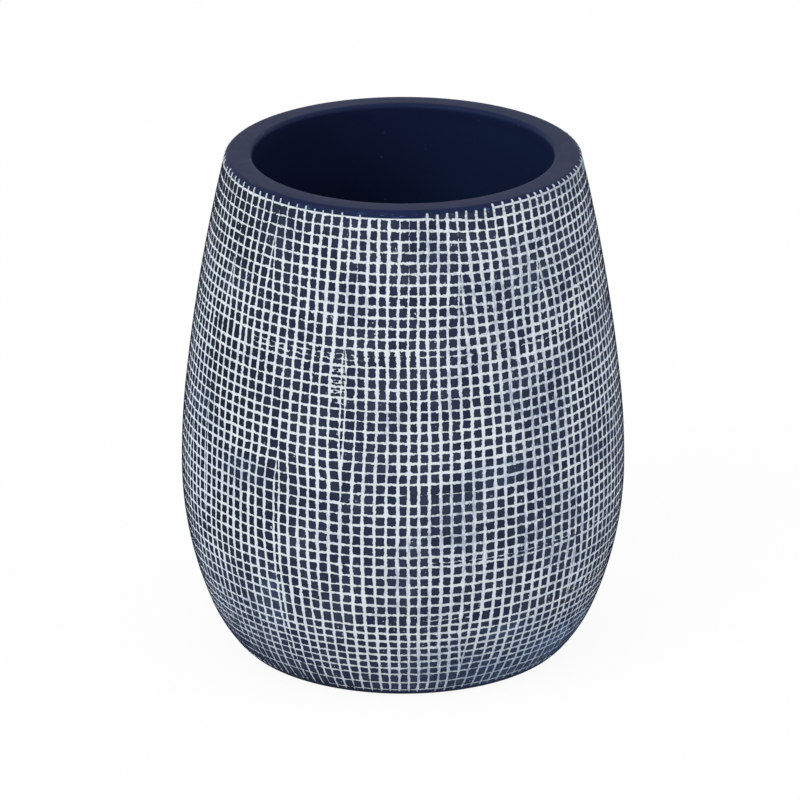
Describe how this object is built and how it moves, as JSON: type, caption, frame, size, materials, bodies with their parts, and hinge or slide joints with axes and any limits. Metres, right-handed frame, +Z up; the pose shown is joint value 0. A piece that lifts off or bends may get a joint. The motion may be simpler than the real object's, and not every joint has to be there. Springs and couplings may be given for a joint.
{
  "type": "bathroom tumbler",
  "caption": "Barrel-shaped bathroom tumbler with a thick smooth lip and a fine white net of lines over a dark wall, standing on soft pads.",
  "frame": {"origin": "centre of the cup on the surface that it stands on, under the pads", "axes": "+Z up along the cup's axis; +X and +Y are level, and the pads stand at 45 degrees between them"},
  "size_m": [0.0902, 0.0902, 0.104],
  "materials": {
    "resin": "satin cast polyresin, dark navy",
    "white_paint": "matt white paint, wiped into the lines",
    "pad_rubber": "matt firm rubber",
    "adhesive": "thin clear acrylic adhesive"
  },
  "bodies": {
    "root": {"cup_body": "resin", "ring_lines": "white_paint", "upright_lines": "white_paint", "foot_pad_1": "pad_rubber", "foot_pad_2": "pad_rubber", "foot_pad_3": "pad_rubber", "foot_pad_4": "pad_rubber", "pad_adhesive_1": "adhesive", "pad_adhesive_2": "adhesive", "pad_adhesive_3": "adhesive", "pad_adhesive_4": "adhesive"}
  },
  "joints": []
}
